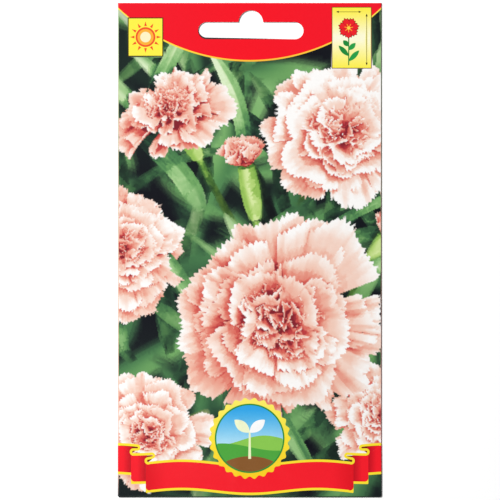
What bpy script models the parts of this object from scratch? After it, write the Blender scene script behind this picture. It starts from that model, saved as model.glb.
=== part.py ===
# Paper seed packet, sealed and lying on its back: one folded sheet with a hanging slot, and its seeds.
# Metres, +Z up. X runs across the packet, Y from its foot to its head, and the printed front faces up.
import math
import random

import bmesh
import bpy
from mathutils import Euler, Vector

MM = 0.001

# Driving sizes, in millimetres.
packet_width = 80.0
packet_height = 150.0
paper = 0.12              # coated paper, about 115 g to the square metre
glue_gap = 0.03           # between two pasted layers
fold_radius = 0.17        # of the paper's middle, at the two side folds
seam_lap = 10.0           # overlap of the two back panels
flap_height = 14.0        # foot flap, folded up over the back
flap_taper = 4.0          # each free corner of the flap is cut in by this
settle_run = 3.0          # length over which a layer steps down past the edge of the one under it
head_height = 17.0        # flat sealed head

slot_width = 32.0         # hanging slot, the standard size for shop hooks
slot_height = 5.1
slot_top = 5.75           # below the packet's head edge
hump_radius = 3.75
hump_top = 2.2            # below the packet's head edge
slot_shift = 0.3          # the punch stands this far right of the middle

fill_height = 0.55        # how far the empty body stands open
fill_fullness = 0.6       # under 1, so that the body opens soon after its foot and its head seal
drift_height = 1.3        # how much more the seeds push the front up
drift_middle = -47.0      # where along the packet they push it most
drift_length = 21.0
foot_ease = 0.14          # share of the body over which that rise comes in from the foot
head_ease = 0.3           # and over which it dies out below the head

seed_length = 2.3
seed_width = 1.75
seed_thickness = 0.42
seed_clearance = 0.3      # to the paper under and over the seeds
seed_pitch_x = 1.6        # closer than a seed's size, so that neighbours overlap
seed_pitch_y = 1.35
seed_slip = 0.1           # how far a seed may lie off its place in the row
drift_layers = ((6, 11), (3, 6))       # rows, and seeds in the longest row, from the bottom up
drift_x = -2.0            # middle of the drift
drift_y = -52.0
loose_seeds = ((14.0, -58.0), (-17.5, -52.5), (19.5, -44.0), (-11.0, -33.0), (8.5, -21.0))

# Sizes that follow from them.
half_width = packet_width / 2
foot_y = -packet_height / 2
head_y = packet_height / 2
layer = paper + glue_gap                       # one pasted layer lies this far above the next
fold_x = half_width - fold_radius - paper / 2
foot_fold_radius = fold_radius + layer / 2     # the foot fold goes round the back panels too
foot_fold_y = foot_y + foot_fold_radius + paper / 2
drift_floor = paper + 2 * layer + seed_clearance   # over the pasted seam, on the flap
flap_half = fold_x - 0.4                       # the flap is cut just narrower than the packet
flap_edge_y = foot_y + flap_height
settle_start = flap_edge_y + 0.3               # the back panels begin to come down just past the flap
lap_edge = -seam_lap / 2 - 0.2                 # the left back panel goes under the seam's outer edge here


def smooth_step(t):
    t = min(max(t, 0.0), 1.0)
    return t * t * (3.0 - 2.0 * t)


def steps(low, high, count):
    return [low + (high - low) * i / count for i in range(count + 1)]


def foot_rise(y):
    # The back panels lie on the flap at the foot, and come down to the table past its edge.
    return layer * (1.0 - smooth_step((y - settle_start) / settle_run))


def puff(x, y):
    # How far the front stands above the flat packet.
    along = (y - foot_fold_y) / (head_y - head_height - foot_fold_y)
    if not 0.0 < along < 1.0:
        return 0.0
    open_body = fill_height * (4.0 * along * (1.0 - along)) ** fill_fullness
    over_seeds = drift_height * math.exp(-((y - drift_middle) / drift_length) ** 2)
    over_seeds *= math.sin(0.5 * math.pi * min(1.0, along / foot_ease)) * smooth_step((1.0 - along) / head_ease)
    return (open_body + over_seeds) * (1.0 - (x / fold_x) ** 2)


def half_turn(centre, radius, sides, start):
    # Points strictly inside a half turn, as (offset out, height), going from its bottom to its top.
    points = []
    for i in range(1, sides):
        angle = math.pi * i / sides
        points.append((centre + start * radius * math.sin(angle), -radius * math.cos(angle)))
    return points


# Columns of points across each panel, and the flat sides that make up a side fold's half turn.
front_columns = [-fold_x] + steps(-flap_half, flap_half, 16) + [fold_x]
left_back_columns = [seam_lap / 2, 0.0, lap_edge, -seam_lap / 2 - settle_run, -fold_x / 2, -fold_x]
right_back_columns = [fold_x, fold_x / 2, seam_lap / 2 + settle_run, seam_lap / 2, 0.0, -seam_lap / 2]
fold_sides = 4


def section(y):
    # One cut across the packet: from the seam's hidden edge round to its outer edge, (x, height).
    outer = paper / 2 + foot_rise(y)
    front = outer + 2 * fold_radius
    points = []
    for x in left_back_columns:
        under_lap = 1.0 - smooth_step((lap_edge - x) / (lap_edge - left_back_columns[3]))
        points.append((x, outer + layer * under_lap))
    middle = outer + fold_radius
    points += [(x, middle + dz) for x, dz in half_turn(-fold_x, fold_radius, fold_sides, -1)]
    points += [(x, front + puff(x, y)) for x in front_columns]
    right_fold = half_turn(fold_x, fold_radius, fold_sides, 1)
    points += [(x, middle + dz) for x, dz in reversed(right_fold)]
    points += [(x, outer) for x in right_back_columns]
    return points


def material(name, colour, roughness):
    surface = bpy.data.materials.new(name)
    surface.use_nodes = True
    shader = surface.node_tree.nodes["Principled BSDF"]
    shader.inputs["Base Color"].default_value = (*colour, 1.0)
    shader.inputs["Roughness"].default_value = roughness
    shader.inputs["Metallic"].default_value = 0.0
    return surface


def new_object(name, mesh, surface=None):
    made = bpy.data.objects.new(name, mesh)
    bpy.context.scene.collection.objects.link(made)
    if surface:
        mesh.materials.append(surface)
    return made


def make_slot_cutter():
    # A long slot with round ends and a round hump in the middle of its upper side.
    radius = slot_height / 2
    slot_y = head_y - slot_top - radius
    end_x = slot_width / 2 - radius
    hump_y = head_y - hump_top - hump_radius
    outline = []
    for i in range(9):
        angle = -0.5 * math.pi + math.pi * i / 8
        outline.append((end_x + radius * math.cos(angle), slot_y + radius * math.sin(angle)))
    foot_angle = math.asin((slot_y + radius - hump_y) / hump_radius)
    for i in range(13):
        angle = foot_angle + (math.pi - 2 * foot_angle) * i / 12
        outline.append((hump_radius * math.cos(angle), hump_y + hump_radius * math.sin(angle)))
    for i in range(9):
        angle = 0.5 * math.pi + math.pi * i / 8
        outline.append((-end_x + radius * math.cos(angle), slot_y + radius * math.sin(angle)))
    shape = bmesh.new()
    ring = [shape.verts.new(((x + slot_shift) * MM, y * MM, -MM)) for x, y in outline]
    bottom = shape.faces.new(ring)
    lifted = bmesh.ops.extrude_face_region(shape, geom=[bottom])
    top = [v for v in lifted["geom"] if isinstance(v, bmesh.types.BMVert)]
    bmesh.ops.translate(shape, verts=top, vec=(0.0, 0.0, 3 * MM))
    bmesh.ops.recalc_face_normals(shape, faces=shape.faces)
    mesh = bpy.data.meshes.new("slot_punch")
    shape.to_mesh(mesh)
    shape.free()
    cutter = new_object("slot_punch", mesh)
    cutter.hide_render = True
    cutter.display_type = "WIRE"
    return cutter


def make_wrapper():
    body_rows = steps(foot_fold_y, flap_edge_y - 1.0, 5) + [settle_start, settle_start + settle_run / 2]
    body_rows += steps(settle_start + settle_run, head_y - head_height, 17)
    body_rows += steps(head_y - head_height, head_y, 3)[1:]
    shape = bmesh.new()
    rows = []
    for y in body_rows:
        rows.append([shape.verts.new((x * MM, y * MM, z * MM)) for x, z in section(y)])
    for low, high in zip(rows, rows[1:]):
        for k in range(len(low) - 1):
            shape.faces.new((low[k], high[k], high[k + 1], low[k + 1]))

    # The foot flap goes on from the front panel, all but its two outer columns, round the foot fold
    # and up the back.
    first = len(left_back_columns) + fold_sides - 1 + 1
    front_row = rows[0][first:first + len(front_columns) - 2]
    front_height = paper / 2 + layer + 2 * fold_radius
    across = [v.co.x / MM for v in front_row]
    fold_z = (front_height + paper / 2) / 2
    previous = front_row
    for dy, dz in reversed(half_turn(0.0, foot_fold_radius, 6, -1)):
        row = [shape.verts.new((x * MM, (foot_fold_y + dy) * MM, (fold_z + dz) * MM)) for x in across]
        for k in range(len(row) - 1):
            shape.faces.new((row[k], previous[k], previous[k + 1], row[k + 1]))
        previous = row
    for y in steps(foot_fold_y, flap_edge_y, 3):
        cut_in = flap_taper * (y - foot_fold_y) / (flap_edge_y - foot_fold_y)
        narrow = (abs(across[0]) - cut_in) / abs(across[0])
        row = [shape.verts.new((x * narrow * MM, y * MM, paper / 2 * MM)) for x in across]
        for k in range(len(row) - 1):
            shape.faces.new((row[k], previous[k], previous[k + 1], row[k + 1]))
        previous = row

    bmesh.ops.recalc_face_normals(shape, faces=shape.faces)
    mesh = bpy.data.meshes.new("wrapper")
    shape.to_mesh(mesh)
    shape.free()
    wrapper = new_object("wrapper", mesh, material("coated_paper", (0.72, 0.10, 0.08), 0.42))
    thick = wrapper.modifiers.new("paper_thickness", "SOLIDIFY")
    thick.thickness = paper * MM
    thick.offset = 0.0
    thick.use_even_offset = True
    punch = wrapper.modifiers.new("slot", "BOOLEAN")
    punch.operation = "DIFFERENCE"
    punch.object = make_slot_cutter()
    return wrapper


def seed_mesh(name):
    # A flat shield-shaped seed: a pointed oval rim, a thinner dished top and a rounded underside.
    around = 8
    shape = bmesh.new()
    rings = []
    for reach, height in ((0.55, -0.5), (1.0, 0.05), (0.62, 0.5)):
        ring = []
        for i in range(around):
            angle = 2 * math.pi * i / around
            point = 1.0 + 0.12 * max(0.0, math.cos(angle)) ** 4
            x = 0.5 * seed_length * reach * point * math.cos(angle)
            y = 0.5 * seed_width * reach * math.sin(angle)
            ring.append(shape.verts.new((x * MM, y * MM, seed_thickness * height * MM)))
        rings.append(ring)
    for low, high in zip(rings, rings[1:]):
        for i in range(around):
            j = (i + 1) % around
            shape.faces.new((low[i], low[j], high[j], high[i]))
    shape.faces.new(list(reversed(rings[0])))
    shape.faces.new(rings[-1])
    mesh = bpy.data.meshes.new(name)
    shape.to_mesh(mesh)
    shape.free()
    return mesh


def keep_largest_piece(mesh):
    # The union leaves scraps without volume where two seeds only graze each other.
    shape = bmesh.new()
    shape.from_mesh(mesh)
    left = set(shape.verts)
    pieces = []
    while left:
        reached = [left.pop()]
        for vert in reached:
            for edge in vert.link_edges:
                other = edge.other_vert(vert)
                if other in left:
                    left.remove(other)
                    reached.append(other)
        pieces.append(reached)
    pieces.sort(key=len)
    scraps = [vert for piece in pieces[:-1] for vert in piece]
    bmesh.ops.delete(shape, geom=scraps, context="VERTS")
    bmesh.ops.dissolve_degenerate(shape, dist=0.0005 * MM, edges=shape.edges)
    bmesh.ops.triangulate(shape, faces=shape.faces)
    shape.to_mesh(mesh)
    shape.free()


def inner_floor(x, y):
    # Top of the highest back layer under a seed.
    layers = 2 if abs(x) < seam_lap / 2 + settle_run + seed_length else 1
    return foot_rise(y) + layers * layer + seed_clearance


def place_seed(name, surface, x, y, z, turn, tilt, lean):
    seed = new_object(name, seed_mesh(name), surface)
    seed.location = Vector((x, y, z)) * MM
    seed.rotation_euler = Euler((tilt, lean, turn))
    return seed


def make_seeds():
    # Seeds slide to the foot and lie shingled there. Spacing under a seed's width keeps them touching.
    draw = random.Random(7)
    surface = material("seed_coat", (0.012, 0.010, 0.010), 0.6)
    drift = []
    for level, (rows, widest) in enumerate(drift_layers):
        for row in range(rows):
            in_row = widest - abs(row - rows // 2)
            for i in range(in_row):
                x = (i - (in_row - 1) / 2) * seed_pitch_x + draw.uniform(-seed_slip, seed_slip) + drift_x
                y = drift_y + (row - rows / 2) * seed_pitch_y + draw.uniform(-seed_slip, seed_slip)
                z = drift_floor + seed_thickness * (0.75 + 0.7 * level)
                tilt = draw.uniform(-0.1, 0.1)
                lean = draw.uniform(0.0, 0.2)
                name = "seed_%d" % len(drift)
                drift.append(place_seed(name, surface, x, y, z, draw.uniform(0, 6.3), tilt, lean))
    first = drift[0]
    first.name = "seed_drift"
    others = bpy.data.collections.new("seed_copies")
    for seed in drift[1:]:
        bpy.context.scene.collection.objects.unlink(seed)
        others.objects.link(seed)
    join = first.modifiers.new("one_drift", "BOOLEAN")
    join.operation = "UNION"
    join.solver = "MANIFOLD"
    join.operand_type = "COLLECTION"
    join.collection = others
    bpy.context.view_layer.update()
    evaluated = first.evaluated_get(bpy.context.evaluated_depsgraph_get())
    joined = bpy.data.meshes.new_from_object(evaluated)
    keep_largest_piece(joined)
    first.modifiers.remove(join)
    first.data = joined
    for seed in drift[1:]:
        bpy.data.objects.remove(seed, do_unlink=True)
    bpy.data.collections.remove(others)

    for i, (x, y) in enumerate(loose_seeds):
        z = inner_floor(x, y) + seed_thickness / 2
        place_seed("seed_loose_%d" % (i + 1), surface, x, y, z, draw.uniform(0, 6.3), 0.0, 0.0)


for leftover in list(bpy.data.objects):
    bpy.data.objects.remove(leftover, do_unlink=True)
make_wrapper()
make_seeds()
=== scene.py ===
import math
import random

import bpy
import numpy as np
from mathutils import Matrix, Vector
from mathutils.bvhtree import BVHTree
from mathutils.geometry import delaunay_2d_cdt


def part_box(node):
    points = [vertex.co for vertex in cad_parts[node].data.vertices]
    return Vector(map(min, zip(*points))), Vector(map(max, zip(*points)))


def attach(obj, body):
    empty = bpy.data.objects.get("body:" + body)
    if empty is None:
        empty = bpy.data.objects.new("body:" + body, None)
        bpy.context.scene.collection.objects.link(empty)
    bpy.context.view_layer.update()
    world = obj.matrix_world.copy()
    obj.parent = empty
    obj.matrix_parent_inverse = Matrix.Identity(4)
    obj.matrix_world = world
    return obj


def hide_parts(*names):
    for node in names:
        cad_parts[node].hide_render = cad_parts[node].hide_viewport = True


# A paper seed packet lying on a white table, seen from straight above.
# The sheet is printed flat, punched and folded, as at the printer's: every outline of the print is cut
# into one flat triangulation of the blank, coloured there, and the blank is then folded round the seeds.

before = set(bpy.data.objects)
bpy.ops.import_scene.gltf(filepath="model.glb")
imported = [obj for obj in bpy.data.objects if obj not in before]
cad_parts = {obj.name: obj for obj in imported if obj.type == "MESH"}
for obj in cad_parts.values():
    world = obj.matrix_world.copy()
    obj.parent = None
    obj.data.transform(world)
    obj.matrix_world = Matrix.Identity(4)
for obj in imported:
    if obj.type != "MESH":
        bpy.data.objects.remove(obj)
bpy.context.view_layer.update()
wrapperLow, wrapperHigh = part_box("wrapper")
mm = 0.001  # the script works in millimetres and hands metres to Blender


def hexColour(text):
    # sRGB hex to three sRGB shares, which the print mixes before they are turned to linear
    return np.array([int(text[i:i + 2], 16) / 255 for i in (1, 3, 5)])


def toLinear(srgb):
    # the one place where sRGB becomes the linear light that shaders work in
    srgb = np.clip(np.asarray(srgb, float), 0, 1)
    return np.where(srgb <= 0.04045, srgb / 12.92, ((srgb + 0.055) / 1.055) ** 2.4)


def smoothStep(low, high, value):
    t = np.clip((np.asarray(value, float) - low) / (high - low), 0, 1)
    return t * t * (3 - 2 * t)


def ramp(value, stops):
    # stops: (place, hex) in rising order; colours run straight from one to the next
    places = [place for place, _ in stops]
    shades = np.array([hexColour(text) for _, text in stops])
    return np.stack([np.interp(value, places, shades[:, k]) for k in range(3)], -1)


# The folded sheet

sheet = {
    "width": round((wrapperHigh.x - wrapperLow.x) / mm, 1),
    "height": round((wrapperHigh.y - wrapperLow.y) / mm, 1),
    "paper": 0.12,
    "glueGap": 0.03,
    "foldRadius": 0.17,
    "seamLap": 10.0,
    "flapHeight": 14.0,
    "flapTaper": 4.0,
    "settleRun": 3.0,
    "headHeight": 17.0,
    "openHeight": 0.55,
    "driftHeight": 1.3,
    "driftMiddle": -47.0,
    "driftLength": 21.0,
}
slot = {
    "width": 32.0, "height": 5.2, "top": 5.8, "humpRadius": 3.75, "humpTop": 2.25, "shift": 0.35,
    "slip": 0.28, "slipTurn": -0.020,  # the back layers slipped up and turned a little after the punch
    "soilAndSlotShade": "#2A1E22", "slotShadeReach": 3.0,  # painted shade: the dark gap between the slipped layers, painted on the back layers round their slot
}

headY, footY = sheet["height"] / 2, -sheet["height"] / 2
layer = sheet["paper"] + sheet["glueGap"]
foldX = sheet["width"] / 2 - sheet["foldRadius"] - sheet["paper"] / 2
foldTurn = math.pi * sheet["foldRadius"]
footRadius = sheet["foldRadius"] + layer / 2
footFoldY = footY + footRadius + sheet["paper"] / 2
flapEdgeY = footY + sheet["flapHeight"]
flapHalf = foldX - 0.06  # the flap clears the side folds
blankHalf = foldX + foldTurn + foldX + sheet["seamLap"] / 2
blankFoot = footFoldY - math.pi * footRadius - (flapEdgeY - footFoldY)

rumple = {
    "seedCount": 46, "seedBump": 0.09, "seedReach": 0.85,       # seeds felt through the front
    "creaseCount": 9, "creaseDepth": 0.07, "creaseWidth": 1.6,  # soft pulls from the drift to the edges
    "creaseX": -2.0, "creaseY": -50.0, "wave": 0.05,
}


def footRise(y):
    # the back panels lie on the flap at the foot
    return layer * (1 - smoothStep(0, sheet["settleRun"], y - flapEdgeY - 0.3))


def puff(x, y):
    # how far the front stands open over the flat packet
    along = np.clip((y - footFoldY) / (headY - sheet["headHeight"] - footFoldY), 0, 1)
    openBody = sheet["openHeight"] * (4 * along * (1 - along)) ** 0.6
    overSeeds = sheet["driftHeight"] * np.exp(-((y - sheet["driftMiddle"]) / sheet["driftLength"]) ** 2)
    overSeeds *= np.sin(0.5 * math.pi * np.minimum(1, along / 0.14)) * smoothStep(0, 1, (1 - along) / 0.3)
    return (openBody + overSeeds) * np.clip(1 - (x / foldX) ** 2, 0, 1)


def rumples(x, y):
    # small unevenness of thin paper over loose seeds, none of it at the folds or in the sealed head
    draw = random.Random(12)
    lift = np.zeros_like(x)
    for _ in range(rumple["seedCount"]):
        seedX, seedY = draw.gauss(-2, 6.5), draw.gauss(-52, 4.0)
        reach = rumple["seedReach"] * draw.uniform(0.8, 1.3)
        away = ((x - seedX) ** 2 + (y - seedY) ** 2) / reach ** 2
        lift += rumple["seedBump"] * draw.uniform(0.4, 1) * np.exp(-away)
    for i in range(rumple["creaseCount"]):
        angle = 2 * math.pi * (i + draw.uniform(0.2, 0.8)) / rumple["creaseCount"]
        dx, dy = math.cos(angle), math.sin(angle)
        fromX, fromY = x - rumple["creaseX"], y - rumple["creaseY"]
        along = fromX * dx + fromY * dy
        across = -fromX * dy + fromY * dx + 1.2 * np.sin(along / 9 + i)
        fade = smoothStep(9, 16, along) * (1 - smoothStep(20, 34 + 8 * draw.random(), along))
        depth = rumple["creaseDepth"] * draw.choice((-1, 1))
        lift += depth * fade * np.exp(-(across / rumple["creaseWidth"]) ** 2)
    lift += rumple["wave"] * np.sin(x / 11 + 0.6) * np.sin(y / 17 + 1.1)
    inside = smoothStep(0, 5, foldX - np.abs(x)) * smoothStep(0, 7, y - footFoldY)
    return lift * inside * smoothStep(0, 6, headY - sheet["headHeight"] - y)


def foldSheet(s, t):
    # the middle of the paper for a point of the flat blank: s across from the front's middle, t along
    s, t = np.asarray(s, float), np.asarray(t, float)
    reach, side = np.abs(s), np.sign(s)
    outer = sheet["paper"] / 2 + footRise(t)
    radius = sheet["foldRadius"]
    angle = np.clip((reach - foldX) / radius, 0, math.pi)
    backX = foldX - (reach - foldX - foldTurn)
    x = np.where(reach <= foldX, s, side * (foldX + radius * np.sin(angle)))
    z = outer + radius + radius * np.cos(angle)
    z = np.where(reach <= foldX, z + puff(s, t) + rumples(s, t), z)
    onBack = reach >= foldX + foldTurn
    x = np.where(onBack, side * backX, x)
    lapEdge = -sheet["seamLap"] / 2 - 0.2
    underLap = 1 - smoothStep(0, sheet["settleRun"] - 0.2, lapEdge - x)
    z = np.where(onBack & (side < 0), z + layer * underLap, z)
    y = t.copy()
    # the foot flap goes round the foot fold and up the back
    past = footFoldY - t
    onFlap = (past > 0) & (reach <= flapHalf + 0.05)
    footAngle = np.clip(past / footRadius, 0, math.pi)
    middleZ = sheet["paper"] / 2 + footRadius
    y = np.where(onFlap, footFoldY - footRadius * np.sin(footAngle), y)
    z = np.where(onFlap, middleZ + footRadius * np.cos(footAngle), z)
    y = np.where(onFlap & (past > math.pi * footRadius), footFoldY + past - math.pi * footRadius, y)
    return np.stack([x, y, z], -1)


def sheetNormals(s, t):
    step = 0.02
    across = foldSheet(s + step, t) - foldSheet(s - step, t)
    along = foldSheet(s, t + step) - foldSheet(s, t - step)
    normal = np.cross(across, along)
    return normal / np.linalg.norm(normal, axis=1)[:, None]


def slotOutline():
    radius = slot["height"] / 2
    middleY = headY - slot["top"] - radius
    endX = slot["width"] / 2 - radius
    humpY = headY - slot["humpTop"] - slot["humpRadius"]
    start = math.asin((middleY + radius - humpY) / slot["humpRadius"])
    points = []
    for x, y, bend, first, last, count in (
            (endX, middleY, radius, -math.pi / 2, math.pi / 2, 21),
            (0, humpY, slot["humpRadius"], start, math.pi - start, 31),
            (-endX, middleY, radius, math.pi / 2, 1.5 * math.pi, 21)):
        points += [(x + bend * math.cos(a), y + bend * math.sin(a)) for a in np.linspace(first, last, count)]
    return np.array(points) + (slot["shift"], 0)


def inOutline(outline, points):
    # even-odd test for many points at once
    x, y = points[:, 0], points[:, 1]
    inside = np.zeros(len(points), bool)
    for (x0, y0), (x1, y1) in zip(outline, np.roll(outline, -1, 0)):
        if y0 != y1:
            crosses = (y0 > y) != (y1 > y)
            inside ^= crosses & (x < (x1 - x0) * (y - y0) / (y1 - y0) + x0)
    return inside


# The still life that is printed on the front: carnations over their grassy leaves.
# Its petals and blades are real surfaces. They are looked at from above, point by point, and only the
# colours go onto the paper.

petalKind, bladeKind, calyxKind = 0, 1, 2
bloom = {
    "rings": (  # petals, length, height of the base, slope at the base and at the rim in degrees
        (8, 30.5, 0.0, 16, -16),
        (7, 27.6, 1.0, 27, -8),
        (7, 22.8, 2.3, 37, 4),
        (6, 19.2, 3.5, 48, 16),
        (6, 15.6, 4.7, 59, 32),
    ),
    "heart": {"petals": 21, "reach": 8.8, "height": 4.6, "length": 11.2, "halfWidth": 6.6, "fold": 2.9,
              "askew": 1.25},
    "budRings": ((4, 12.0, 0.0, 78, 70), (4, 13.5, 0.0, 84, 88), (3, 14.5, 0.0, 88, 92)),
    "halfWidth": 12.6,  # of one petal at its rim
    "teeth": 18,        # of the pinked edge, to a petal
    "toothDepth": 1.25,
    "fold": 2.4,        # height of a petal's waves at the rim
    "waves": 1.35,
    "foot": 1.2,        # how far from the middle a petal springs
    "calyx": {"length": 25, "foot": 2.9, "mouth": 3.9, "belly": 1.2, "tone": 0.12},
    "stem": {"length": 45, "drop": 30, "low": 1.3, "high": 1.6},
    "knob": {"top": 9, "tone": -0.1, "bud": (2.0, 3.6), "open": (-0.9, 4.4)},  # its foot's height and radius
    "toneSpread": 0.06,
}
petalShades = (
    (0.00, "#84202C"), (0.10, "#BC3A3E"), (0.22, "#DA6558"), (0.36, "#E68C7A"), (0.50, "#EFB09C"),
    (0.64, "#F4CAB8"), (0.78, "#F8DDD0"), (0.90, "#FBEFE8"), (1.00, "#FFFDFB"),
)
leafShades = (
    (0.00, "#0A0C16"), (0.12, "#14211F"), (0.28, "#2C5038"), (0.44, "#4A7F4E"), (0.60, "#6FA561"),
    (0.76, "#93C27F"), (0.90, "#BFDDA2"), (1.00, "#DDEFC8"),
)
calyxShades = (
    (0.00, "#16301A"), (0.25, "#40702F"), (0.50, "#74A544"), (0.75, "#A3CA62"), (1.00, "#D9EBA4"),
)
lightWay = Vector((0.50, 0.42, 0.76)).normalized()
goldenTurn = 2.4  # radians, so that petals and looks laid one after another spread evenly


def turnedBy(angle, x, y):
    c, s = math.cos(angle), math.sin(angle)
    return x * c - y * s, x * s + y * c


def petalSurface(length, baseHeight, baseSlope, rimSlope, turn, scale, draw,
                 out=bloom["foot"], askew=0.0, halfWidth=bloom["halfWidth"], foldHeight=bloom["fold"]):
    teeth = bloom["teeth"]
    u = np.linspace(0, 1, 19) ** 0.85
    v = np.linspace(-1, 1, 2 * teeth + 1)
    uu, vv = np.meshgrid(u, v, indexing="ij")
    depth = np.array([draw.uniform(0.4, 1) if i % 2 else draw.uniform(-0.25, 0.15) for i in range(len(v))])
    lobes = 0.05 * np.sin(v * 4.2 + draw.uniform(0, 6)) - 0.16 * np.abs(v) ** 3
    rimStart = 1 + lobes
    rho = uu * (rimStart + depth * bloom["toothDepth"] / length * smoothStep(0.8, 1.0, uu))
    spread = min(1.1, halfWidth * draw.uniform(0.85, 1.2) / length)
    phi = vv * spread * (0.3 + 0.7 * smoothStep(0, 0.6, uu))
    along, across = rho * np.cos(phi * 0.8), rho * np.sin(phi)
    # the middle line leaves the heart at one slope and bends over to another
    steps = np.linspace(0, 1.25, 60)
    slope = np.radians(baseSlope + (rimSlope - baseSlope) * np.minimum(steps, 1.1) ** 0.9)
    lineR = np.concatenate([[0], np.cumsum(np.cos(slope[:-1]) * np.diff(steps))])
    lineZ = np.concatenate([[0], np.cumsum(np.sin(slope[:-1]) * np.diff(steps))])
    slopeHere = np.interp(along, steps, slope)
    r = np.interp(along, steps, lineR) * length
    z = np.interp(along, steps, lineZ) * length
    side = across * length
    waves, start = bloom["waves"] * draw.uniform(0.7, 1.35), draw.uniform(0, 2 * math.pi)
    fold = foldHeight * draw.uniform(0.6, 1.3)
    lift = fold * uu ** 1.6 * np.sin(math.pi * waves * vv + start + 0.8 * (1 - uu))
    lift += 0.42 * fold * uu ** 3 * np.sin(math.pi * waves * 2.7 * vv + 2 * start)
    lift += 0.22 * fold * uu ** 6 * np.sin(math.pi * waves * 6.3 * vv + 3 * start)
    lift += draw.uniform(-0.004, 0.014) * side ** 2 + math.tan(draw.uniform(-0.28, 0.28)) * side * uu
    r = r - np.sin(slopeHere) * lift
    z = z + np.cos(slopeHere) * lift + baseHeight
    # each stands a little askew on its own foot, and the foot stands round the middle of the flower
    r, side = turnedBy(askew, r, side)
    x, y = turnedBy(turn, r + out, side)
    return np.stack([x, y, z], -1) * scale, uu, vv


def bladeSurface(path, width, draw):
    # a narrow leaf along a bent line, with a folded middle and a drawn-out tip
    path = np.array(path, float)
    w = np.linspace(0, 1, 26)[:, None]
    line = (1 - w) ** 2 * path[0] + 2 * w * (1 - w) * path[1] + w ** 2 * path[2]
    way = np.gradient(line, axis=0)
    way /= np.linalg.norm(way, axis=1)[:, None]
    level = np.cross(way, (0, 0, 1))
    level /= np.linalg.norm(level, axis=1)[:, None]
    v = np.linspace(-1, 1, 7)
    taper = np.minimum(1, (1 - w[:, 0]) * 3.2) ** 0.7 * (0.55 + 0.45 * smoothStep(0, 0.2, w[:, 0]))
    half = 0.5 * width * taper
    roll = draw.uniform(-0.5, 0.5) + 0.5 * np.sin(w[:, 0] * 2.5 + draw.uniform(0, 6))
    up = np.cross(level, way)
    sideWay = level * np.cos(roll)[:, None] + up * np.sin(roll)[:, None]
    upWay = np.cross(sideWay, way)
    points = line[:, None] + sideWay[:, None] * (half[:, None] * v)[..., None]
    points += upWay[:, None] * (half[:, None] * 0.45 * np.abs(v))[..., None]
    uu, vv = np.meshgrid(w[:, 0], v, indexing="ij")
    return points, uu, vv


def tubeSurface(start, end, startRadius, endRadius, belly):
    # a calyx, stem or bud between two points
    start, end = np.array(start, float), np.array(end, float)
    way = (end - start) / np.linalg.norm(end - start)
    side = np.cross(way, (0.1, 0.2, 1.0))
    side /= np.linalg.norm(side)
    other = np.cross(way, side)
    w = np.linspace(0, 1, 16)
    angle = np.linspace(0, 2 * math.pi, 19)
    radius = startRadius + (endRadius - startRadius) * w + belly * np.sin(math.pi * w)
    ring = np.cos(angle)[:, None] * side + np.sin(angle)[:, None] * other
    points = start + (end - start) * w[:, None, None] + radius[:, None, None] * ring[None]
    uu, vv = np.meshgrid(w, np.linspace(-1, 1, 19), indexing="ij")
    return points, uu, vv


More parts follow.
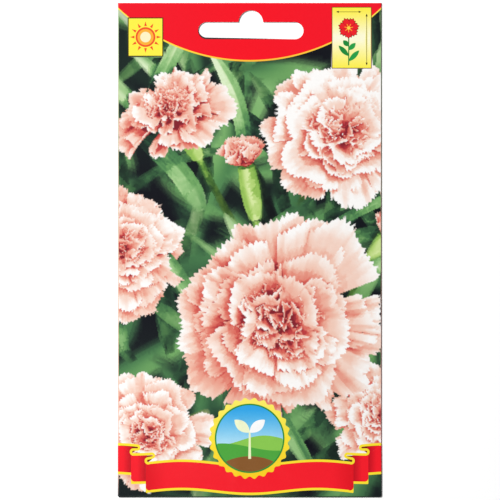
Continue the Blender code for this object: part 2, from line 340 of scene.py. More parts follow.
class StillLife:
    # surfaces gathered as one set of triangles, with what each point needs for its colour
    def __init__(self):
        self.points, self.uv, self.kinds, self.tones, self.triangles, self.count = [], [], [], [], [], 0

    def add(self, surface, kind, tone):
        points, uu, vv = surface
        rows, columns = uu.shape
        index = np.arange(rows * columns).reshape(rows, columns) + self.count
        a, b, c, d = index[:-1, :-1], index[1:, :-1], index[1:, 1:], index[:-1, 1:]
        self.triangles.append(np.concatenate([np.stack([a, b, c], -1).reshape(-1, 3),
                                              np.stack([a, c, d], -1).reshape(-1, 3)]))
        self.points.append(points.reshape(-1, 3))
        self.uv.append(np.stack([uu, vv], -1).reshape(-1, 2))
        self.kinds.append(np.full(rows * columns, kind))
        self.tones.append(np.full(rows * columns, tone))
        self.count += rows * columns

    def close(self):
        self.points, self.uv = np.concatenate(self.points), np.concatenate(self.uv)
        self.kinds, self.tones = np.concatenate(self.kinds), np.concatenate(self.tones)
        self.triangles = np.concatenate(self.triangles)
        a, b, c = (self.points[self.triangles[:, k]] for k in range(3))
        faceNormals = np.cross(b - a, c - a)
        normals = np.zeros_like(self.points)
        for k in range(3):
            np.add.at(normals, self.triangles[:, k], faceNormals)
        self.normals = normals / (np.linalg.norm(normals, axis=1)[:, None] + 1e-12)
        self.tree = BVHTree.FromPolygons(self.points.tolist(), self.triangles.tolist())

    def look(self, places):
        # straight down at each place: hit or not, and what was hit
        down, cast = Vector((0, 0, -1)), self.tree.ray_cast
        found = [cast(Vector((x, y, 90.0)), down) for x, y in places.tolist()]
        hit = np.array([f[2] is not None for f in found])
        index = np.array([f[2] if f[2] is not None else 0 for f in found])
        at = np.array([tuple(f[0]) if f[0] is not None else (0, 0, 0) for f in found]).reshape(-1, 3)
        corners = self.triangles[index]
        a, b, c = (self.points[corners[:, k]] for k in range(3))
        # how near each place lies to the corners of its triangle
        ab, ac, ap = b - a, c - a, at - a
        d00, d01, d11 = (ab * ab).sum(1), (ab * ac).sum(1), (ac * ac).sum(1)
        d20, d21 = (ap * ab).sum(1), (ap * ac).sum(1)
        below = d00 * d11 - d01 * d01 + 1e-12
        wb, wc = (d11 * d20 - d01 * d21) / below, (d00 * d21 - d01 * d20) / below
        weights = np.clip(np.stack([1 - wb - wc, wb, wc], -1), 0, 1)
        weights /= weights.sum(1)[:, None]
        uv = (self.uv[corners] * weights[..., None]).sum(1)
        normal = (self.normals[corners] * weights[..., None]).sum(1)
        normal /= np.linalg.norm(normal, axis=1)[:, None] + 1e-12
        flipped = normal[:, 2] < 0
        normal[flipped] *= -1
        return hit, at, uv, normal, self.kinds[corners[:, 0]], self.tones[corners[:, 0]]

    def clearShare(self, at, normal, ways, reach):
        # share of the given directions that are clear, weighted by how square the surface faces them;
        # the rays start a little off the surface, so that it doesn't stop its own
        cast = self.tree.ray_cast
        starts = [Vector(p) for p in (at + normal * 0.12 + (0, 0, 0.05)).tolist()]
        total, clear = np.zeros(len(at)), np.zeros(len(at))
        for way in ways:
            weight = np.clip(normal @ np.array(way), 0.02, 1)
            seen = np.array([cast(start, way, reach)[2] is None for start in starts], float)
            total += weight
            clear += weight * seen
        return clear / total


def skyWays(count):
    ways = []
    for i in range(count):
        height = math.sqrt(1 - (i + 0.5) / count)
        turn = i * 2.39996  # the golden angle, so that no two ways fall together
        level = math.sqrt(1 - height * height)
        ways.append(Vector((level * math.cos(turn), level * math.sin(turn), height)))
    return ways


def addBloom(life, spot):
    # spot: place, size and lean of one flower head; the ones that lean far show their calyx
    draw = random.Random(spot["draw"])
    lean, leanTurn = math.radians(spot["lean"]), math.radians(spot["leanTo"])
    tip = np.array(Matrix.Rotation(lean, 3, (-math.sin(leanTurn), math.cos(leanTurn), 0)))
    place = np.array([spot["x"], spot["y"], spot["z"]], float)
    scale = spot["radius"] / bloom["rings"][0][1]
    isBud = spot.get("bud", False)

    def addPetal(surface):
        points, uu, vv = surface
        tone = draw.uniform(-bloom["toneSpread"], bloom["toneSpread"]) + spot.get("pale", 0)
        life.add((points @ tip.T + place, uu, vv), petalKind, tone)

    rings = bloom["budRings"] if isBud else bloom["rings"]
    for ring, (count, length, height, baseSlope, rimSlope) in enumerate(rings):
        for i in range(count):
            turn = 2 * math.pi * (i + draw.uniform(-0.3, 0.3)) / count + ring * 1.1
            addPetal(petalSurface(length * draw.uniform(0.84, 1.1), height + draw.uniform(-0.4, 0.4),
                                  baseSlope + draw.uniform(-7, 7), rimSlope + draw.uniform(-13, 13),
                                  turn, scale, draw))
    heart = bloom["heart"]
    for i in range(0 if isBud else heart["petals"]):
        # crumpled petals that stand any way round, taller towards the middle
        away = math.sqrt((i + 0.5) / heart["petals"])
        slope = 88 - 24 * away + draw.uniform(-9, 9)
        length = heart["length"] * (1 - 0.2 * away) * draw.uniform(0.86, 1.1)
        addPetal(petalSurface(length, heart["height"], slope, slope - draw.uniform(0, 22),
                              goldenTurn * i + draw.uniform(-0.4, 0.4), scale, draw, heart["reach"] * away,
                              draw.uniform(-1, 1) * heart["askew"], heart["halfWidth"], heart["fold"]))
    calyx, stem, knob = bloom["calyx"], bloom["stem"], bloom["knob"]
    up = tip @ np.array([0, 0, scale])
    foot = place - up * calyx["length"]
    life.add(tubeSurface(foot, place + up * 0.4, calyx["foot"] * scale, calyx["mouth"] * scale,
                         calyx["belly"] * scale), calyxKind, calyx["tone"])
    # a tight knob of petals in the middle; in an open flower it also covers the end of the calyx
    low, wide = knob["bud"] if isBud else knob["open"]
    life.add(tubeSurface(place + up * low, place + up * knob["top"], wide * scale, 0.1, 0),
             petalKind, knob["tone"])
    life.add(tubeSurface(foot - up * stem["length"] - (0, 0, stem["drop"]), foot, stem["low"],
                         stem["high"] * scale, 0), calyxKind, 0.0)


blooms = (
    {"x": 8.5, "y": -20.0, "z": 0, "radius": 32.0, "lean": 20, "leanTo": 285, "draw": 3},
    {"x": 27.0, "y": 34.0, "z": -10, "radius": 24.0, "lean": 28, "leanTo": 60, "draw": 8, "pale": 0.10},
    {"x": -22.0, "y": 40.0, "z": -6, "radius": 19.0, "lean": 60, "leanTo": 118, "draw": 14},
    {"x": -40.0, "y": 0.0, "z": -12, "radius": 20.0, "lean": 24, "leanTo": 20, "draw": 21},
    {"x": -29.0, "y": -55.0, "z": -12, "radius": 18.0, "lean": 24, "leanTo": 200, "draw": 27, "pale": 0.08},
    {"x": 41.0, "y": -51.0, "z": -15, "radius": 16.0, "lean": 15, "leanTo": 120, "draw": 33, "pale": 0.12},
    {"x": -1.0, "y": 25.0, "z": -12, "radius": 20.0, "lean": 74, "leanTo": 100, "draw": 40, "bud": True},
    {"x": 41.0, "y": 4.0, "z": -16, "radius": 17.0, "lean": 70, "leanTo": 60, "draw": 46, "bud": True},
)


# lowest and highest draw of each leaf's place, direction, length, depth and so on
nearLeaves = {"count": 60, "x": (-46, 46), "y": (-78, 62), "way": (0.6, 2.5), "bend": (-0.5, 0.5),
              "run": (26, 48), "low": (-34, -18), "rise": (6, 14), "tip": (-6, 8), "width": (3.0, 6.6),
              "tone": (-0.10, 0.16)}
farLeaves = {"count": 90, "x": (-52, 52), "y": (-84, 70), "way": (0, 2 * math.pi), "bend": (-0.6, 0.6),
             "run": (24, 50), "low": (-60, -40), "bow": 8, "tip": (-6, 10), "width": (4, 9),
             "tone": (-0.25, 0.12)}


def addLeaves(life, leaves, draw):
    for _ in range(leaves["count"]):
        x, y, way = (draw.uniform(*leaves[name]) for name in ("x", "y", "way"))
        bend, run, low = (draw.uniform(*leaves[name]) for name in ("bend", "run", "low"))
        middle = low + (leaves["bow"] if "bow" in leaves else draw.uniform(*leaves["rise"]))
        tip = low + draw.uniform(*leaves["tip"])
        path = ((x, y, low), (x + run * 0.5 * math.cos(way), y + run * 0.5 * math.sin(way), middle),
                (x + run * math.cos(way + bend), y + run * math.sin(way + bend), tip))
        blade = bladeSurface(path, draw.uniform(*leaves["width"]), draw)
        life.add(blade, bladeKind, draw.uniform(*leaves["tone"]))


def buildStillLife():
    near, far = StillLife(), StillLife()
    for spot in blooms:
        addBloom(near, spot)
    draw = random.Random(5)
    addLeaves(near, nearLeaves, draw)  # the lens holds these sharp
    addLeaves(far, farLeaves, draw)    # and not those far below
    near.close()
    far.close()
    return near, far


focus = {
    "softBelow": -15.0, "radius": 0.7, "turns": (0.4, 1.7, 2.9, 4.2, 5.4),  # leaves behind the flowers
    "farRadius": 2.1, "farLooks": 9,                                        # and the ground of leaves
    "darkFrom": 14, "darkTo": 40, "darkest": 0.36,                          # less light comes that far down
}


shading = {
    "ways": (9, 5), "skyReach": 26.0, "keyReach": 60.0,  # ways to the sky, fine and quick, and their reach
    "keySpread": 0.4, "keyTurns": (0.5, 2.6, 4.7),       # a wide light: three more ways round its middle
}


def petalColours(uv, tone, sky, key, facing):
    # coral where little light gets in, peach on the open face and cream on the pinked rim
    u, v = uv[:, 0], uv[:, 1]
    value = 0.02 + 0.49 * sky + 0.38 * key * facing + tone
    value += 0.22 * smoothStep(0.80, 1.0, u) - 0.24 * (1 - smoothStep(0.1, 0.75, u))
    value += 0.02 * np.sin(v * 31 + 3 * np.sin(u * 5)) * u
    return ramp(np.clip(value, 0, 1), petalShades)


def leafColours(uv, tone, sky, key, facing, kind):
    v = uv[:, 1]
    value = 0.03 + 0.36 * sky + 0.62 * key * facing + tone + 0.03 * np.sin(v * 19)
    value = np.clip(value + np.where(kind == bladeKind, 0.10 * np.exp(-(v / 0.16) ** 2), 0.10), 0, 1)
    return np.where((kind == calyxKind)[:, None], ramp(value, calyxShades), ramp(value, leafShades))


def pictureColours(life, places, fine):
    near, far = life
    hit, at, uv, normal, kind, tone = near.look(places)
    colours = np.zeros((len(places), 3))
    colours[~hit] = groundColours(far, places[~hit])
    at, uv, normal, kind, tone = at[hit], uv[hit], normal[hit], kind[hit], tone[hit]
    sky = near.clearShare(at, normal, skyWays(shading["ways"][0 if fine else 1]), shading["skyReach"])
    side, spread = Vector((lightWay.y, -lightWay.x, 0)).normalized(), shading["keySpread"]
    keys = [lightWay]
    for angle in shading["keyTurns"]:
        lifted = Vector((0, 0, spread * math.sin(angle)))
        keys.append((lightWay + side * spread * math.cos(angle) + lifted).normalized())
    key = near.clearShare(at, normal, keys if fine else keys[:1], shading["keyReach"])
    facing = normal @ np.array(lightWay)
    facing = np.where(facing > 0, facing, -0.55 * facing)  # light also comes through a petal
    found = np.where((kind == petalKind)[:, None], petalColours(uv, tone, sky, key, 0.25 + 0.75 * facing),
                     leafColours(uv, tone, sky, key, 0.2 + 0.8 * facing, kind))
    leafy = kind != petalKind
    found[leafy] = dimmed(found[leafy], at[leafy])
    if fine:  # leaves behind the flowers lie a little out of focus
        soft = np.flatnonzero(leafy & (at[:, 2] < focus["softBelow"]))
        middle, total = places[hit][soft], found[soft].copy()
        for turn in focus["turns"]:
            aside = middle + focus["radius"] * np.array([math.cos(turn), math.sin(turn)])
            hit2, at2, uv2, normal2, kind2, tone2 = near.look(aside)
            facing2 = np.abs(normal2 @ np.array(lightWay))
            other = dimmed(leafColours(uv2, tone2, sky[soft], key[soft], 0.2 + 0.8 * facing2, kind2), at2)
            other[~hit2] = groundColours(far, aside[~hit2])
            petal = hit2 & (kind2 == petalKind)
            other[petal] = found[soft][petal]
            total += other
        found[soft] = total / (len(focus["turns"]) + 1)
    colours[hit] = found
    return colours


def dimmed(colours, at):
    # less light reaches the leaves farther down
    depth = smoothStep(focus["darkFrom"], focus["darkTo"], -at[:, 2])
    return colours * (1 - focus["darkest"] * depth)[:, None]


def groundColours(far, places):
    # far out of focus: each point is the mean of a wide ring of looks at the lower leaves
    if not len(places):
        return np.zeros((0, 3))
    total = np.zeros((len(places), 3))
    below = ramp(0.05 + 0.10 * np.sin(places[:, 0] / 13 + 1) * np.cos(places[:, 1] / 17), leafShades)
    for i in range(focus["farLooks"]):
        radius = focus["farRadius"] * math.sqrt(i / focus["farLooks"])
        aside = (radius * math.cos(goldenTurn * i), radius * math.sin(goldenTurn * i))
        hit, _, _, normal, _, tone = far.look(places + aside)
        facing = np.clip(normal @ np.array(lightWay), 0, 1)
        value = np.clip(0.12 + 0.56 * facing + tone, 0, 1)
        total += np.where(hit[:, None], ramp(value, leafShades), below)
    return total / focus["farLooks"]


# The print's drawn parts: each is an outline on the blank and a colour, painted in this order

def rectangle(x0, y0, x1, y1):
    return [(x0, y0), (x1, y0), (x1, y1), (x0, y1)]


def disc(x, y, radius, count=48):
    return [(x + radius * math.cos(a), y + radius * math.sin(a))
            for a in np.linspace(0, 2 * math.pi, count + 1)[:-1]]


def spun(points, angle, x, y):
    # a shape drawn round the origin, turned and put in place
    c, s = math.cos(angle), math.sin(angle)
    return [(x + px * c - py * s, y + px * s + py * c) for px, py in points]


def leafShape(length, width, count=12):
    # pointed oval from the origin along +X
    upper = [(length * w, 0.5 * width * math.sin(math.pi * w) ** 0.8)
             for w in np.linspace(0, 1, count)[1:-1]]
    return [(0, 0)] + upper + [(length, 0)] + [(px, -py) for px, py in reversed(upper)]


def flat(text):
    colour = hexColour(text)
    return lambda x, y: np.tile(colour, (len(x), 1))


def blend(way, low, high, stops):
    # colour that changes along x or y between two places
    return lambda x, y: ramp(np.clip(((x if way == "x" else y) - low) / (high - low), 0, 1), stops)


header = {
    "lowest": 57.7, "arcRadius": 58.0, "line": 0.5, "bleed": 2.2, "shadesTo": 40,
    "red": ((0, "#F21428"), (0.5, "#F80E22"), (1, "#F41428")),
    "lineShades": ((0, "#FFE650"), (0.3, "#FFD640"), (0.5, "#FFBC3A"), (0.7, "#FFC83C"), (1, "#FFE650")),
}


def headerEdge(x, drop):
    radius = header["arcRadius"]
    return header["lowest"] - drop + radius - math.sqrt(radius ** 2 - x ** 2)


def headerParts():
    half, top, parts = foldX + foldTurn + header["bleed"], headY + 3, []
    shadesTo = header["shadesTo"]
    for drop, shades in ((header["line"], "lineShades"), (0, "red")):
        edge = [(x, headerEdge(x, drop)) for x in np.linspace(-half, half, 61)]
        colour = blend("x", -shadesTo, shadesTo, header[shades])
        parts.append((edge + [(half, top), (-half, top)], colour))
    return parts


def framedBox(box, ground):
    x0, y0, x1, y1 = box["place"]
    line = box["line"]
    return [(rectangle(x0, y0, x1, y1), flat(box["edge"])),
            (rectangle(x0 + line, y0 + line, x1 - line, y1 - line), ground)]


sunBox = {
    "place": (-37.0, 58.7, -26.2, 70.6), "line": 0.3, "edge": "#3A2A1A", "ground": "#FFF24A",
    "rays": 12, "ray": ((3.35, -0.42), (4.75, 0.0), (3.35, 0.42)), "rayInk": "#F2542D",
    "discs": ((3.0, 48, "#F2542D"), (2.45, 48, "#FFB43A"), (1.6, 32, "#FFF3C4")),
}


def sunBoxParts():
    x0, y0, x1, y1 = sunBox["place"]
    cx, cy = (x0 + x1) / 2, (y0 + y1) / 2
    parts = framedBox(sunBox, flat(sunBox["ground"]))
    for i in range(sunBox["rays"]):
        parts.append((spun(sunBox["ray"], i * 2 * math.pi / sunBox["rays"], cx, cy), flat(sunBox["rayInk"])))
    for radius, count, ink in sunBox["discs"]:
        parts.append((disc(cx, cy, radius, count), flat(ink)))
    return parts


sizeBox = {
    "place": (24.9, 55.1, 37.0, 73.8), "line": 0.2, "edge": "#5A3A1E",
    "ground": ((0, "#FFF04A"), (0.5, "#FFFDE6"), (1, "#FFEE3E")),
    "flowerLeft": 0.9, "flowerDown": 6.4, "footUp": 1.0, "stem": (0.16, "#1F7A34"),
    "leaves": ((46, 1.2, 4.6, "#27A048"), (134, 2.8, 4.4, "#1C8A3A"),  # angle, height, length and colour
               (46, 4.6, 3.0, "#27A048"), (134, 5.8, 2.4, "#1C8A3A")),
    "leafWidth": 1.5, "petals": 7, "turn": 0.2,
    "petal": ((0, 0), (2.0, -1.15), (2.9, -0.95), (2.75, -0.45), (3.35, 0.0), (2.75, 0.45), (2.9, 0.95),
              (2.0, 1.15)),
    "petalRim": "#7A0C14", "petalInk": "#EE2028", "inset": (0.94, 0.86),
    "stamen": ((0.3, -0.12), (1.3, -0.1), (1.3, 0.1), (0.3, 0.12)), "stamenInk": "#FFB02E",
    "heart": (0.5, "#FFD94A"),
    "arrowInk": "#2A1C14", "arrowTip": ((0, 0), (-0.9, -0.32), (-0.9, 0.32)), "arrowHalf": 0.07,
    "arrowIn": 1.5,
}


def sizeBoxParts():
    b = sizeBox
    x0, y0, x1, y1 = b["place"]
    cx, low, high = (x0 + x1) / 2 - b["flowerLeft"], y0 + b["footUp"], y1 - b["flowerDown"]
    parts = framedBox(b, blend("y", y0, y1, b["ground"]))
    half, ink = b["stem"]
    parts.append((rectangle(cx - half, low, cx + half, high), flat(ink)))
    for degrees, height, length, ink in b["leaves"]:
        leaf = leafShape(length, b["leafWidth"])
        parts.append((spun(leaf, math.radians(degrees), cx, low + height), flat(ink)))
    turns = [i * 2 * math.pi / b["petals"] + b["turn"] for i in range(b["petals"])]
    inset = [(px * b["inset"][0], py * b["inset"][1]) for px, py in b["petal"]]
    for turn in turns:
        parts.append((spun(b["petal"], turn, cx, high), flat(b["petalRim"])))
        parts.append((spun(inset, turn, cx, high), flat(b["petalInk"])))
    for turn in turns:
        parts.append((spun(b["stamen"], turn, cx, high), flat(b["stamenInk"])))
    parts.append((disc(cx, high, b["heart"][0], 20), flat(b["heart"][1])))
    # how wide and how high the plant grows: two plain measuring arrows
    ink, tip, half = flat(b["arrowInk"]), b["arrowTip"], b["arrowHalf"]
    right, top = x1 - b["arrowIn"], y1 - b["arrowIn"]
    parts.append((rectangle(right - half, low + 0.6, right + half, top - 1.2), ink))
    parts.append((rectangle(cx - 3.2, top - half, cx + 3.2, top + half), ink))
    for angle, x, y in ((math.pi / 2, right, top - 0.5), (-math.pi / 2, right, low - 0.1),
                        (0, cx + 3.9, top), (math.pi, cx - 3.9, top)):
        parts.append((spun(tip, angle, x, y), ink))
    return parts


ribbon = {
    "low": -74.3, "high": -64.9, "wave": 1.5, "waveLength": 41.0, "edge": 0.75, "corner": 1.1,
    "yellow": "#FFE532", "red": "#FA1A2A", "shade": "#C40C1E", "under": "#7A0812",
    "curl": 0.6, "roll": 0.75,  # bend of the edge where the band turns under and where it comes forward
    "folds": (31.5, 36.0),      # outer ends of the middle band and of the first tail
    "overlap": 1.9,             # how far a turned end reaches in over the band before it
    "step": 3.35,               # from each band up to the one behind it
    "redEnd": "#E41020",        # the middle band's red at its two folds
}


def ribbonWave(x):
    return ribbon["wave"] * np.sin(math.pi * np.abs(x) / ribbon["waveLength"]) ** 2


def halfTurn(x, high, radius, way, count=9):
    # the edge goes round half a circle, down from (x, high)
    angle = np.linspace(math.pi / 2, -math.pi / 2, count)
    return [(x + way * radius * math.cos(a), high - radius + radius * math.sin(a)) for a in angle]


def stroke(line, width):
    # a line of even width as one outline
    line = np.array(line, float)
    way = np.gradient(line, axis=0)
    way /= np.linalg.norm(way, axis=1)[:, None]
    aside = np.stack([-way[:, 1], way[:, 0]], -1) * width / 2
    return (line + aside).tolist() + (line - aside)[::-1].tolist()


def bandOutline(x0, x1, low, high, corner, slope):
    # one visible length of the band: from its fold at x0, rounded below, to where it is hidden at x1
    turn = [(x0 + corner - corner * math.cos(a), low + corner - corner * math.sin(a))
            for a in np.linspace(0, math.pi / 2, 8)]
    return turn + [(x1, low + slope * (x1 - x0)), (x1, high + slope * (x1 - x0)), (x0, high)]


def ribbonParts():
    # drawn for the left end, then mirrored: two tails folded behind the band, and the yellow edge that
    # runs on from fold to fold
    r, edge, parts = ribbon, ribbon["edge"], []
    inner, outer = (-place for place in r["folds"])
    end = -foldX - foldTurn
    firstY, secondY = r["high"] + r["step"], r["high"] + 2 * r["step"] - 0.3
    height = r["high"] - r["low"]

    def both(outline, colour):
        parts.append((outline, colour("left")))
        parts.append(([(-px, py) for px, py in outline], colour("right")))

    def shaded(x0, x1):
        # red that darkens towards the band in front
        left = blend("x", x0, x1, ((0, r["red"]), (0.45, r["red"]), (1, r["shade"])))
        right = blend("x", -x1, -x0, ((0, r["shade"]), (0.55, r["red"]), (1, r["red"])))
        return lambda side: left if side == "left" else right

    def plain(text):
        return lambda side: flat(text)

    for x0, x1, top, slope in ((end, outer, secondY, -0.07), (outer, inner, firstY, 0.02)):
        low, corner = top - height, r["corner"] if x0 == outer else 0.02
        tip = x1 + r["overlap"] + r["curl"] / 2
        head = top - edge
        turned = [(x0 + 1, head), (tip, head), (tip, head - 1.3 * r["curl"]), (x1, head - 2.6)]
        both(turned, plain(r["under"]))
        both(bandOutline(x0, x1 + 0.4, low, head, corner * 0.3, slope), plain(r["yellow"]))
        both(bandOutline(x0, x1 + 0.4, low + edge, head, corner, slope), shaded(x0, x1))
    xs = np.linspace(inner + r["roll"], -inner - r["roll"], 70)
    middleReds = ((0, r["redEnd"]), (0.1, r["red"]), (0.9, r["red"]), (1, r["redEnd"]))
    for drop, colour in ((0, flat(r["yellow"])), (edge, blend("x", inner, -inner, middleReds))):
        corner = r["corner"] if drop else 0.3
        lowest = r["low"] + drop + ribbonWave(inner)
        left = [(inner + corner - corner * math.sin(a), lowest + corner - corner * math.cos(a))
                for a in np.linspace(math.pi / 2, 0, 8)]
        middle = np.linspace(inner + corner + 0.5, -inner - corner - 0.5, 60)
        foot = left + [(x, r["low"] + drop + c) for x, c in zip(middle, ribbonWave(middle))]
        foot += [(-px, py) for px, py in reversed(left)]
        head = [(x, r["high"] - edge / 2 + c) for x, c in zip(xs, ribbonWave(xs))]
        side = r["high"] - edge / 2 + ribbonWave(inner) + r["roll"]
        parts.append((foot + [(-inner, side)] + head[::-1] + [(inner, side)], colour))
    # the edge from the outer tail to the middle band
    tailX = np.linspace(end - 0.5, outer + r["overlap"], 10)
    line = [(x, secondY - edge / 2 - 0.35 * ((x - end) / 6) ** 2) for x in tailX]
    line += halfTurn(line[-1][0], line[-1][1], r["curl"], 1)[1:]
    for fold, nextY, run in ((outer, firstY, inner + r["overlap"]), (inner, r["high"], 0)):
        rollTop = nextY - edge / 2 + (ribbonWave(inner) if run == 0 else 0) + 2 * r["roll"]
        line += halfTurn(fold + r["roll"], rollTop, r["roll"], -1)
        if run:
            line += [(x, nextY - edge / 2 + 0.22 * ((x - fold) / 6) ** 2)
                     for x in np.linspace(fold + r["roll"] + 0.5, run, 10)]
            line += halfTurn(line[-1][0], line[-1][1], r["curl"], 1)[1:]
    line += [(x, r["high"] - edge / 2 + ribbonWave(x))
             for x in np.linspace(inner + r["roll"] + 0.5, 0.5, 40)]
    both(stroke(line, edge), plain(r["yellow"]))
    return parts


badge = {
    "x": 0.0, "y": -57.0, "radius": 12.0, "scallops": 26, "scallopDepth": 0.4, "line": 0.45, "picture": 10.1,
    "rim": ((0, "#FFD21E"), (0.5, "#FFE83A"), (1, "#FFF06A")), "ring": "#2C8E3C",
    "sky": ((0, "#C4ECFB"), (1, "#2FA6EA")), "farHill": "#8CCB52", "hill": "#4FA93F", "soilAndSlotShade": "#8A5A2C",
    "stem": ((-0.43, -6.2), (0.43, -6.2), (0.25, 2.4), (-0.25, 2.4)), "stemInk": "#F2FAC8",
    "seedLeaves": ((40, "#FFFFFF"), (140, "#F4FBD2")), "leafUp": 1.8,
}


def underLine(outline, line):
    # the part of a round outline below a line that crosses it, and the line back
    below = [(px, py) for px, py in outline if py < line(px)]
    return below + [(x, line(x)) for x in np.linspace(below[-1][0] - 0.1, below[0][0] + 0.1, 24)]


def badgeParts():
    # a seedling over two hills and a bed of soil, in a seal with a scalloped rim
    b, x, y = badge, badge["x"], badge["y"]
    rim = []
    for a in np.linspace(0, 2 * math.pi, b["scallops"] * 8 + 1)[:-1]:
        radius = b["radius"] + b["scallopDepth"] * math.cos(b["scallops"] * a)
        rim.append((x + radius * math.cos(a), y + radius * math.sin(a)))
    sky = disc(x, y, b["picture"], 96)
    parts = [
        (rim, blend("y", y - 12, y + 12, b["rim"])),
        (disc(x, y, b["picture"] + b["line"], 96), flat(b["ring"])),
        (sky, blend("y", y - 3, y + 9, b["sky"])),
        (underLine(sky, lambda px: y - 0.6 + 1.5 * math.sin((px - x) / 4.6 + 0.6)), flat(b["farHill"])),
        (underLine(sky, lambda px: y - 2.6 - 1.1 * math.sin((px - x) / 5.2)), flat(b["hill"])),
        (underLine(sky, lambda px: y - 5.4 - 0.030 * (px - x) ** 2), flat(b["soilAndSlotShade"])),
        ([(x + px, y + py) for px, py in b["stem"]], flat(b["stemInk"])),
    ]
    for degrees, ink in b["seedLeaves"]:
        parts.append((spun(leafShape(6.0, 3.0, 16), math.radians(degrees), x, y + b["leafUp"]), flat(ink)))
    return parts


back = {
    "headBand": 10.0, "headRed": "#F2152A", "headLine": 0.8, "lineInk": "#FFB52E", "foldGap": 0.9,
    "frame": (5, 12, 31, 52), "frameLine": 0.4, "rule": "#C9D8BE", "white": "#FFFFFF",
    "rules": 6, "ruleFrom": (8, 18), "ruleTo": 28, "ruleStep": 5.2, "ruleLine": 0.5, "faintRule": "#E3EBDD",
    "cells": 6, "cellFrom": (5, -8), "cell": (4.0, 6.0), "cellStep": 4.4, "cellLine": 0.3,
    "sowing": (1, 2, 3), "ink": "#2F6B45", "fill": "#7CC489",
}


def backParts():
    # plain back: a red head band that meets the front's, a ruled frame and a row of month cells, no words
    b, start, parts = back, foldX + foldTurn, []
    gap, far = b["foldGap"], blankHalf + 1 - foldX - foldTurn
    bandFoot = headY - b["headBand"]

    def panel(side, x0, y0, x1, y1, ink):
        # x here runs from the fold towards the seam
        s0, s1 = side * (start + x0), side * (start + x1)
        parts.append((rectangle(min(s0, s1), y0, max(s0, s1), y1), flat(b[ink])))

    def linedPanel(side, x0, y0, x1, y1, line, edge, fill):
        panel(side, x0, y0, x1, y1, edge)
        panel(side, x0 + line, y0 + line, x1 - line, y1 - line, fill)

    for side in (-1, 1):
        panel(side, gap, bandFoot, far, headY + 1, "headRed")
        panel(side, gap, bandFoot - b["headLine"], far, bandFoot, "lineInk")
        linedPanel(side, *b["frame"], b["frameLine"], "rule", "white")
        for i in range(b["rules"]):
            x0, y0 = b["ruleFrom"][0], b["ruleFrom"][1] + i * b["ruleStep"]
            panel(side, x0, y0, b["ruleTo"], y0 + b["ruleLine"], "faintRule")
        for i in range(b["cells"]):
            x0, y0 = b["cellFrom"][0] + i * b["cellStep"], b["cellFrom"][1]
            inks = ("ink", "fill") if i in b["sowing"] else ("rule", "white")
            linedPanel(side, x0, y0, x0 + b["cell"][0], y0 + b["cell"][1], b["cellLine"], *inks)
    return parts


def printParts():
    bleed = foldX + foldTurn + 0.8
    picture = rectangle(-bleed, blankFoot - 1, bleed, headY + 1)
    parts = [("picture", picture, None)]
    for name, made in (("header", headerParts()), ("sunBox", sunBoxParts()), ("sizeBox", sizeBoxParts()),
                       ("ribbon", ribbonParts()), ("badge", badgeParts()), ("back", backParts())):
        parts += [(name, outline, colour) for outline, colour in made]
    return parts


# The blank, triangulated

def blankOutline():
    flapFold = footFoldY - math.pi * footRadius
    tipHalf = flapHalf - sheet["flapTaper"]
    return [
        (-blankHalf, footFoldY), (-flapHalf, footFoldY), (-flapHalf, flapFold), (-tipHalf, blankFoot),
        (tipHalf, blankFoot), (flapHalf, flapFold), (flapHalf, footFoldY), (blankHalf, footFoldY),
        (blankHalf, headY), (-blankHalf, headY),
    ]


def slotsOnBlank():
    # the punch goes through the front and both back panels; on a back panel it is seen from behind
    front = slotOutline()
    found = [front]
    for side in (-1, 1):
        reach = 2 * foldX + foldTurn - side * front[:, 0]
        slipped = front[:, 1] + slot["slip"] + slot["slipTurn"] * front[:, 0]
        found.append(np.stack([side * reach, slipped], -1))
    return found


def onPaper(places):
    kept = inOutline(np.array(blankOutline()), places)
    for outline in slotsOnBlank():
        kept &= ~inOutline(outline, places)
    return kept


bends = {"side": 6, "foot": 8, "flap": 4, "lap": (0.2, 1.2, 2.2, 3.2)}


def foldLines():
    # rows of edges where the sheet bends, so that every bend is round: strips to each bend, and at the lap
    # the places past its edge
    lines = []
    for side in (-1, 1):
        for i in range(bends["side"] + 1):
            s = side * (foldX + foldTurn * i / bends["side"])
            lines.append(((s, footFoldY), (s, headY)))
    for i in range(bends["foot"] + 1):
        t = footFoldY - math.pi * footRadius * i / bends["foot"]
        lines.append(((-flapHalf, t), (flapHalf, t)))
    seam = 2 * foldX + foldTurn
    for past in bends["lap"]:
        s = sheet["seamLap"] / 2 + past - seam
        lines.append(((s, footFoldY), (s, headY)))
    for i in range(bends["flap"] + 1):
        t = flapEdgeY + 0.3 + sheet["settleRun"] * i / bends["flap"]
        lines.append(((-blankHalf, t), (-foldX - foldTurn, t)))
        lines.append(((foldX + foldTurn, t), (blankHalf, t)))
    return lines


def gridPoints(x0, y0, x1, y1, step):
    xs, ys = np.arange(x0 + step / 2, x1, step), np.arange(y0 + step / 2, y1, step)
    xx, yy = np.meshgrid(xs, ys)
    xx = xx + (np.arange(len(ys)) % 2)[:, None] * step * 0.5 - step * 0.25
    return np.stack([xx, yy], -1).reshape(-1, 2)


tracing = {"coarse": 1.16, "levels": 2, "difference": 0.088, "wobble": 0.16}
# steps of the plain nets: under the drawn parts of the front, on the back, inside, and how the inside's
# points keep off the rim and follow the folds
nets = {"front": 1.6, "back": 3.0, "inside": 2.5, "offRim": 0.6, "alongFold": 4}


